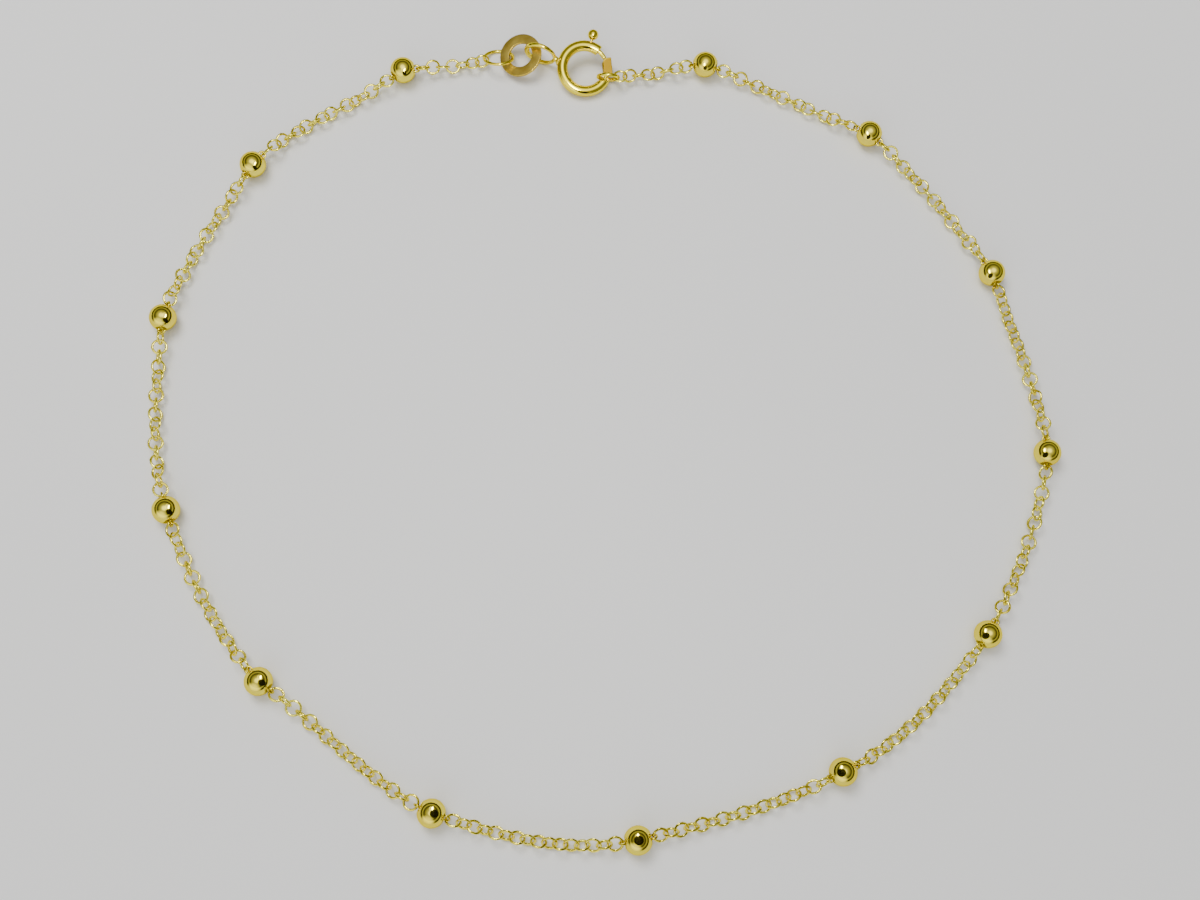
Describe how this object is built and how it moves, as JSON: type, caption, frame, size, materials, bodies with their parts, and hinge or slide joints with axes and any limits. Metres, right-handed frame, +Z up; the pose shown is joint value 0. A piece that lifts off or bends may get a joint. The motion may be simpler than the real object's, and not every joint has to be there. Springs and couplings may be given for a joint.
{
  "type": "chain anklet",
  "caption": "Fine round-link chain anklet with small plain balls spaced along it, closed by a spring ring clasp, lying in a loop.",
  "frame": {"origin": "on the floor under the middle of the box round the whole loop", "axes": "+Z up from the floor the anklet lies on, +Y towards the clasp, +X to the right as seen from the side away from the clasp"},
  "size_m": [0.0854, 0.0784, 0.0033],
  "materials": {
    "ball_gold": "mirror polished yellow gold",
    "chain_gold": "polished yellow gold wire",
    "clasp_gold": "polished yellow gold with fine draw and file marks",
    "satin_gold": "satin stamped yellow gold with bright edges"
  },
  "bodies": {
    "anklet": {"ball_01": "ball_gold", "ball_02": "ball_gold", "ball_03": "ball_gold", "ball_04": "ball_gold", "ball_05": "ball_gold", "ball_06": "ball_gold", "ball_07": "ball_gold", "ball_08": "ball_gold", "ball_09": "ball_gold", "ball_10": "ball_gold", "ball_11": "ball_gold", "ball_12": "ball_gold", "ball_13": "ball_gold", "chain_left": "chain_gold", "chain_right": "chain_gold", "end_ring": "clasp_gold", "flat_ring": "satin_gold", "spring_ring": "clasp_gold", "catch_ring": "clasp_gold"},
    "bolt": {"spring_bolt": "clasp_gold"}
  },
  "joints": [
    {"name": "bolt_draw", "type": "hinge", "parent": "anklet", "child": "bolt", "pos_m": [-0.0062, 0.0353, 0.0013], "axis": [0.1392, -0.273, 0.9519], "range_deg": [0, 30], "stiffness_Nm_per_rad": 0.002, "springref_deg": -17.19}
  ]
}
